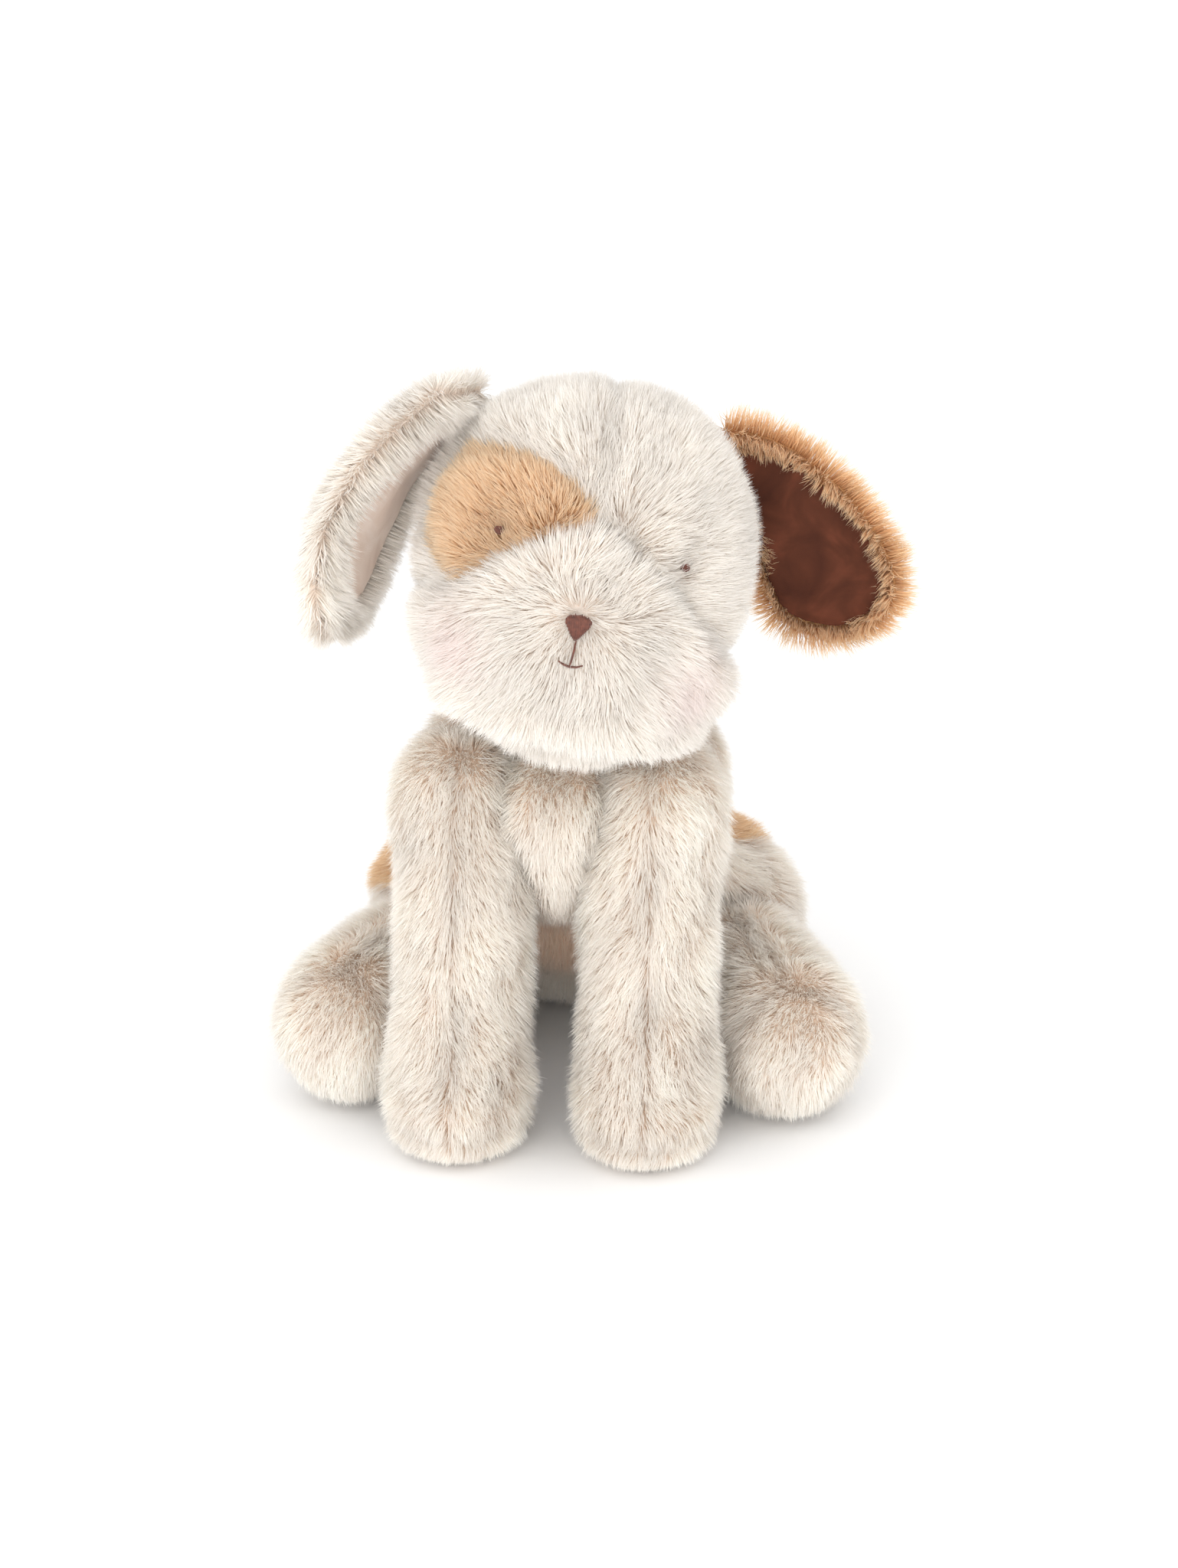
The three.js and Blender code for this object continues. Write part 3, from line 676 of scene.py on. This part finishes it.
LEGS = ("front_leg_left", "front_leg_right", "hind_leg_left", "hind_leg_right")
LEG_PARTS = ("_outer", "_inner", "_sole")
HEAD_PANELS = ("crown_left", "crown_right", "eye_patch", "muzzle_panel", "chin_panel")
TORSO_PANELS = ("seat_base", "chest_panel", "back_patch", "body_side_left", "body_side_right")

PILES = {
    "crown_left": white_painted_dimmer(9.5, lean=(24, 50)),
    "crown_right": white_painted_dimmer(9.5, lean=(24, 50)),
    "eye_patch": Pile(8.5, ("#CB9866", "#EDCDA6", "#F7E6CD"), lean=(28, 54)),
    "muzzle_panel": white_painted_dimmer(11.0, lean=(36, 60)),
    "chin_panel": white_painted_dimmer(10.0),
    "seat_base": cream_painted_brighter(5.0),
    "chest_panel": cream_painted_brighter(9.0),
    "back_patch": caramel(9.5),
    "body_side_left": cream_painted_brighter(9.5),
    "body_side_right": cream_painted_brighter(9.5),
    "tail_upper": cream_painted_brighter(10.0),
    "tail_lower": cream_painted_brighter(10.0),
    "ear_left_outer": caramel(10.0, thick=1.2),
    "ear_right_outer": white_painted_dimmer(10.5, thick=1.2),
}
for leg in LEGS:
    PILES[leg + "_outer"] = cream_painted_brighter(9.5)
    PILES[leg + "_inner"] = cream_painted_brighter(9.0)
    PILES[leg + "_sole"] = cream_painted_brighter(8.0)


# Where the covers stand fuller or flatter than the CAD solids: body, place, reach and amount, in mm.
SWELLS = (
    ("head", (5, -100, 240), 26, 1),
    ("head", (38, -100, 228), 22, 3),
    ("head", (5, -72, 150), 22, 5),
    ("torso", (4, -74, 132), 22, 5),
    ("torso", (-1, -124, 116), 22, 5),
    ("torso", (16, -120, 112), 15, 5),
    ("torso", (-18, -120, 112), 15, 5),
    ("torso", (42, -98, 136), 18, 4),
    ("torso", (-46, -98, 136), 18, 4),
    ("front_leg_left", (8, -122, 114), 13, -3),
    ("front_leg_right", (-12, -122, 114), 13, -3),
    ("front_leg_left", (38, -110, 128), 18, 3),
    ("front_leg_right", (-42, -110, 128), 18, 3),
    ("front_leg_left", (30, -122, 60), 40, 1.5),
    ("front_leg_right", (-34, -122, 60), 40, 1.5),
    ("hind_leg_left", (98, -92, 28), 26, 4),
    ("hind_leg_right", (-98, -92, 28), 26, 4),
)

# How much of each of red, green and blue these take out of the fur.
BLUSH = np.array((0.01, 0.07, 0.055))
EYE_PAINTED_SHADE = np.array((0.34, 0.48, 0.58))     # painted shade: the fur in the hollow round each eye is darkened, tips as well as roots
# painted shade: the cream fur under the chest, between the legs, is darkened to a warm brown
BELLY_PAINTED_SHADE = np.array((0.0, 0.18, 0.30))


def make_covers():
    """The sunk, padded covers of all furry bodies."""
    voxel = 2.4 * MM
    covers = {
        "head": Cover("head", [*HEAD_PANELS, "head_stuffing"], HEAD_PANELS, voxel, PILE_INSET),
        "torso": Cover("torso", [*TORSO_PANELS, "torso_stuffing"], TORSO_PANELS, voxel, PILE_INSET),
        "tail": Cover("tail", ["tail_upper", "tail_lower", "tail_stuffing"], ("tail_upper", "tail_lower"),
                      1.6 * MM, PILE_INSET),
    }
    for leg in LEGS:
        panels = tuple(leg + part for part in LEG_PARTS)
        covers[leg] = Cover(leg, [*panels, leg + "_stuffing"], panels, 2.0 * MM, PILE_INSET)
    for ear in ("ear_left", "ear_right"):
        covers[ear] = Cover(ear, [ear + "_outer"], (ear + "_outer",), 1.1 * MM, EAR_INSET)
    return covers


def shape_covers(covers):
    """Swells the covers, then pulls them in along the seams and at the eyes."""
    for body, cover in covers.items():
        if body.startswith("ear"):
            continue
        cover.stuff(CLOTH_PRESSURE, CLOTH_CAP)
        cover.push(-(FACE_GROOVE if body == "head" else SEAM_GROOVE) * fade(cover.seam, SEAM_WIDTH))
    for body, place, reach, amount in SWELLS:
        covers[body].swell(place, reach, amount)
    head = covers["head"]
    puffed = head.owner == HEAD_PANELS.index("muzzle_panel")
    head.push(MUZZLE_PUFF * puffed * fade(head.seam - 6 * MM, 5 * MM))
    for eye in ("eye_left", "eye_right"):
        reach = np.linalg.norm(head.points - centre_of(eye), axis=1)
        head.push(-EYE_DIMPLE * fade(reach, EYE_REACH))
    for cover in covers.values():
        cover.rest_on_floor()


def head_fur(cover, room):
    """Face fur combs outward from the nose, and stands away from the sewn-in eyes."""
    nose, mouth = centre_of("nose"), centre_of("mouth_stitch")
    points = cover.points
    flow = across_surface(points - nose - 4 * MM * UPWARD, cover.normals)
    from_nose = np.linalg.norm(points - nose, axis=1)
    from_mouth = np.linalg.norm(points - mouth, axis=1)
    share = 1 - 0.5 * fade(from_nose, 10 * MM) - 0.22 * fade(from_mouth, 8 * MM)
    tint = np.ones((len(points), 3))
    for eye in ("eye_left", "eye_right"):
        reach = np.linalg.norm(points - centre_of(eye), axis=1)
        apart = across_surface(points - centre_of(eye) + 3 * MM * UPWARD, cover.normals)
        flow = flow + 0.7 * fade(reach, EYE_REACH)[:, None] * apart
        share = share * (1 - 0.15 * fade(reach, EYE_REACH))
        # Painted shade: the fur in the hollow round each eye is darkened.
        tint = tint * (1 - EYE_PAINTED_SHADE * fade(reach, 4 * MM)[:, None])
    for side in (-1, 1):
        cheek = nose + side * 33 * MM * ACROSS - 15 * MM * UPWARD + 12 * MM * np.array((0, 1, 0))
        tint = tint * (1 - BLUSH * fade(np.linalg.norm(points - cheek, axis=1), BLUSH_REACH)[:, None])
    share *= np.clip(room / (8 * MM), 0.5, 1)
    grow(cover, PILES, flow, share, tint, 1.0 * (room > 0), 1)


def torso_fur(cover, room):
    """Body fur combs down; the pile underneath and between the legs is short, and under the chest it is darkened
    by painted shade.
    """
    normals = cover.normals
    outward = cover.points - np.array((0, -20 * MM, 0))
    outward[:, 2] = 0
    flow = across_surface(DOWN + 0.3 * unit(outward), normals)
    flow = flow + 0.5 * fade(cover.seam, 7 * MM)[:, None] * cover.away
    low = np.clip(cover.points[:, 2] / (12 * MM), 0.35, 1)
    share = low * np.clip(room / (6 * MM), 0.7, 1)
    # Painted shade: the fur under the chest, round the belly, is dyed darker and warmer.
    belly_shade = fade(np.linalg.norm(cover.points - MM * np.array((0, -72, 50)), axis=1), 34 * MM)
    grow(cover, PILES, flow, share, 1 - BELLY_PAINTED_SHADE * belly_shade[:, None], 1.0 * (room > 0), 2)


def leg_fur(cover, room, seed):
    """Leg fur combs down and away from the seams."""
    flow = across_surface(DOWN + np.array((0, -0.25, 0)), cover.normals)
    parting = 0.35 if cover.body.startswith("front") else 0.1
    flow = flow + parting * fade(cover.seam, 12 * MM)[:, None] * across_surface(cover.away, cover.normals)
    low = np.clip(cover.points[:, 2] / (10 * MM), 0.4, 1)
    share = low * np.clip(room / (8 * MM), 0.6, 1)
    grow(cover, PILES, flow, share, np.ones((len(share), 3)), 1.0 * (room > 0), seed)


def tail_fur(cover, room):
    root = np.array(JOINTS["tail_wag"]["pos_m"])
    flow = across_surface(cover.points - root, cover.normals)
    share = np.clip(room / (9 * MM), 0.3, 1)
    grow(cover, PILES, flow, share, np.ones((len(share), 3)), 1.0 * (room > 0), 9)


def ear_fur(cover, room, seed):
    """Ear fur combs from the root to the tip. It stands up round the lining and rolls out over the rim."""
    ear = cover.body
    joint = JOINTS[ear + "_flap"]
    axis, root = np.array(joint["axis"]), np.array(joint["pos_m"])
    lining = tree_of(*arrays_of(NODES[ear + "_lining"].data))
    middle = cover.points.mean(axis=0)
    to_tip = unit(middle - root - dot(middle - root, axis) * axis)
    outward = unit(cover.points - centre_of(ear + "_lining"))
    lining_side = unit(centre_of(ear + "_lining") - middle)
    shown = np.clip(0.5 + 1.5 * cover.normals @ lining_side, 0, 1)[:, None]
    edge = np.array([lining.find_nearest(point)[3] for point in cover.points.tolist()])
    roll = np.clip(edge / (5 * MM) - 0.7, -0.6, 0.9)[:, None]
    flow = (1 - shown) * (0.7 * to_tip + 0.4 * outward) + shown * (0.55 * roll * outward + 0.1 * to_tip)
    flow = flow - dot(flow, cover.normals) * cover.normals
    rays = zip(cover.points.tolist(), cover.normals.tolist())
    behind = [lining.ray_cast(Vector(start), Vector(normal), 5 * MM)[3] is not None for start, normal in rays]
    keep = np.where(behind, 0.0, 1.2 + 0.8 * shown[:, 0])
    share = np.clip(room / (9 * MM), 0.4, 1)
    grow(cover, PILES, flow, share, np.ones((len(share), 3)), keep, seed)


def make_linings():
    """The velour linings of the ears, with the soft wrinkles of a thin cloth sewn to a thicker one."""
    brown = velour_material("brown_velour", [(0.3, "#3F1E12"), (0.5, "#4E2819"), (0.72, "#653625")], 0.12)
    taupe = velour_material("taupe_velour", [(0.3, "#DAC3B4"), (0.5, "#E5D1C3"), (0.72, "#EFE0D6")], 0.2)
    for ear, material in (("ear_left", brown), ("ear_right", taupe)):
        node = ear + "_lining"
        points, faces = remeshed([node], 0.8 * MM)
        points = smoothed(points, faces, 3)
        normals = normals_of(points, faces)
        wrinkle = ripple(points, 5 * MM, 31, 1) * 0.5 + ripple(points, 10 * MM, 32, 1)
        points = points + 0.45 * MM * wrinkle * normals
        made = new_object(node + "_velour", points, faces, material)
        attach(made, ear)
        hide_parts(node)


def make_face():
    facing = -np.array(HEAD_TILT.col[1])
    nose = stitch("nose", "nose_satin", UPWARD, facing, 0.55 * MM, 0.40 * MM, 0.18)
    finish_feature(nose, "nose")
    for eye in ("eye_left", "eye_right"):
        made = stitch(eye, eye + "_satin", ACROSS, facing, 0.45 * MM, 0.36 * MM, 0.1, 0.42, 3.0 * MM)
        finish_feature(made, eye)
    finish_feature(mouth(facing), "mouth_stitch")


def mouth(facing):
    """A thread down from the nose, and a small smile, laid on the muzzle."""
    tree = tree_of(*arrays_of(NODES["muzzle_panel"].data))
    paths = []
    for line in (MOUTH_LINE, SMILE_LINE):
        path = []
        for across, up in line:
            start = centre_of("nose") + across * MM * ACROSS + up * MM * UPWARD + 20 * MM * facing
            hit = tree.ray_cast(Vector(start), Vector(-facing))[0]
            path.append(np.array(hit) + MOUTH_LIFT * facing)
        paths.append(smooth_path(np.array(path), 13))
    return build_threads("mouth_threads", paths, 0.75 * MM, facing)


def make_inside():
    """Materials for what is inside the toy."""
    fibre = loose_material("fibre", [(0.3, "#E9E6E0"), (0.7, "#FBFAF7")], 260, 0.95, 1.5 * MM)
    cloth = loose_material("bag_cloth", [(0.3, "#DCD9D0"), (0.7, "#ECEAE3")], 1200, 0.9, 0.2 * MM)
    beads = loose_material("pellets", [(0.3, "#D2D2CC"), (0.7, "#EDEDE8")], 500, 0.5, 1.0 * MM)
    looks = {"polyester_fibre": fibre, "bag_cloth": cloth, "pellets": beads}
    for node, slot in SLOTS.items():
        if slot in looks:
            NODES[node].data.materials.clear()
            NODES[node].data.materials.append(looks[slot])


def build_toy():
    covers = make_covers()
    shape_covers(covers)
    rooms = {}
    for body, cover in covers.items():
        rooms[body] = room_round(cover, [other for name, other in covers.items() if name != body])
    head_fur(covers["head"], rooms["head"])
    torso_fur(covers["torso"], rooms["torso"])
    for number, leg in enumerate(LEGS):
        leg_fur(covers[leg], rooms[leg], 3 + number)
    tail_fur(covers["tail"], rooms["tail"])
    for number, ear in enumerate(("ear_left", "ear_right")):
        ear_fur(covers[ear], rooms[ear], 20 + number)
    for cover in covers.values():
        cover.build(BACKING, PILES, 0.85)
    make_linings()
    make_face()
    make_inside()


# ---------------------------------------------------------------- the studio


def make_camera():
    """A portrait camera, about 20 degrees above the floor and a little to the dog's left."""
    aim = Vector((8.2, -111.2, 118)) * MM
    elevation, azimuth, distance = math.radians(20), math.radians(5), 1200 * MM
    back = Vector((
        math.sin(azimuth) * math.cos(elevation),
        -math.cos(azimuth) * math.cos(elevation),
        math.sin(elevation),
    ))
    data = bpy.data.cameras.new("camera")
    data.sensor_width = 36
    data.lens = 36 * 4900 / 2048
    data.clip_start, data.clip_end = 0.05, 50
    camera = bpy.data.objects.new("camera", data)
    camera.location = aim + back * distance
    camera.rotation_euler = (-back).to_track_quat("-Z", "Y").to_euler()
    bpy.context.scene.collection.objects.link(camera)
    bpy.context.scene.camera = camera


def make_light(name, place, size, power):
    data = bpy.data.lights.new(name, "AREA")
    data.shape = "DISK"
    data.size = size
    data.energy = power
    lamp = bpy.data.objects.new(name, data)
    lamp.location = place
    target = Vector((0, -0.06, 0.12))
    lamp.rotation_euler = (target - lamp.location).to_track_quat("-Z", "Y").to_euler()
    bpy.context.scene.collection.objects.link(lamp)


def make_studio():
    """A pale floor and soft, nearly frontal light from wide sources, with a bright surround."""
    material, tree, bsdf = shader("studio_floor")
    colour = colours_between(tree, noise(tree, 3, 1), [(0.3, "#FAFAFA"), (0.7, "#FFFFFF")])
    tree.links.new(colour, bsdf.inputs["Base Color"])
    bsdf.inputs["Roughness"].default_value = 0.9
    bsdf.inputs["Specular IOR Level"].default_value = 0.1
    floor = new_object("floor", [(-8, -8, 0), (8, -8, 0), (8, 8, 0), (-8, 8, 0)], [(0, 1, 2, 3)], material)
    world = bpy.data.worlds.new("surround")
    world.use_nodes = True
    world.node_tree.nodes["Background"].inputs["Color"].default_value = (1, 1, 1, 1)
    world.node_tree.nodes["Background"].inputs["Strength"].default_value = 1.1
    bpy.context.scene.world = world
    make_light("key", (-0.7, -1.7, 0.9), 1.4, 6)
    make_light("front", (0.1, -2.1, 0.15), 2.0, 31)
    bpy.context.scene.view_settings.view_transform = "Standard"


make_camera()
make_studio()
build_toy()
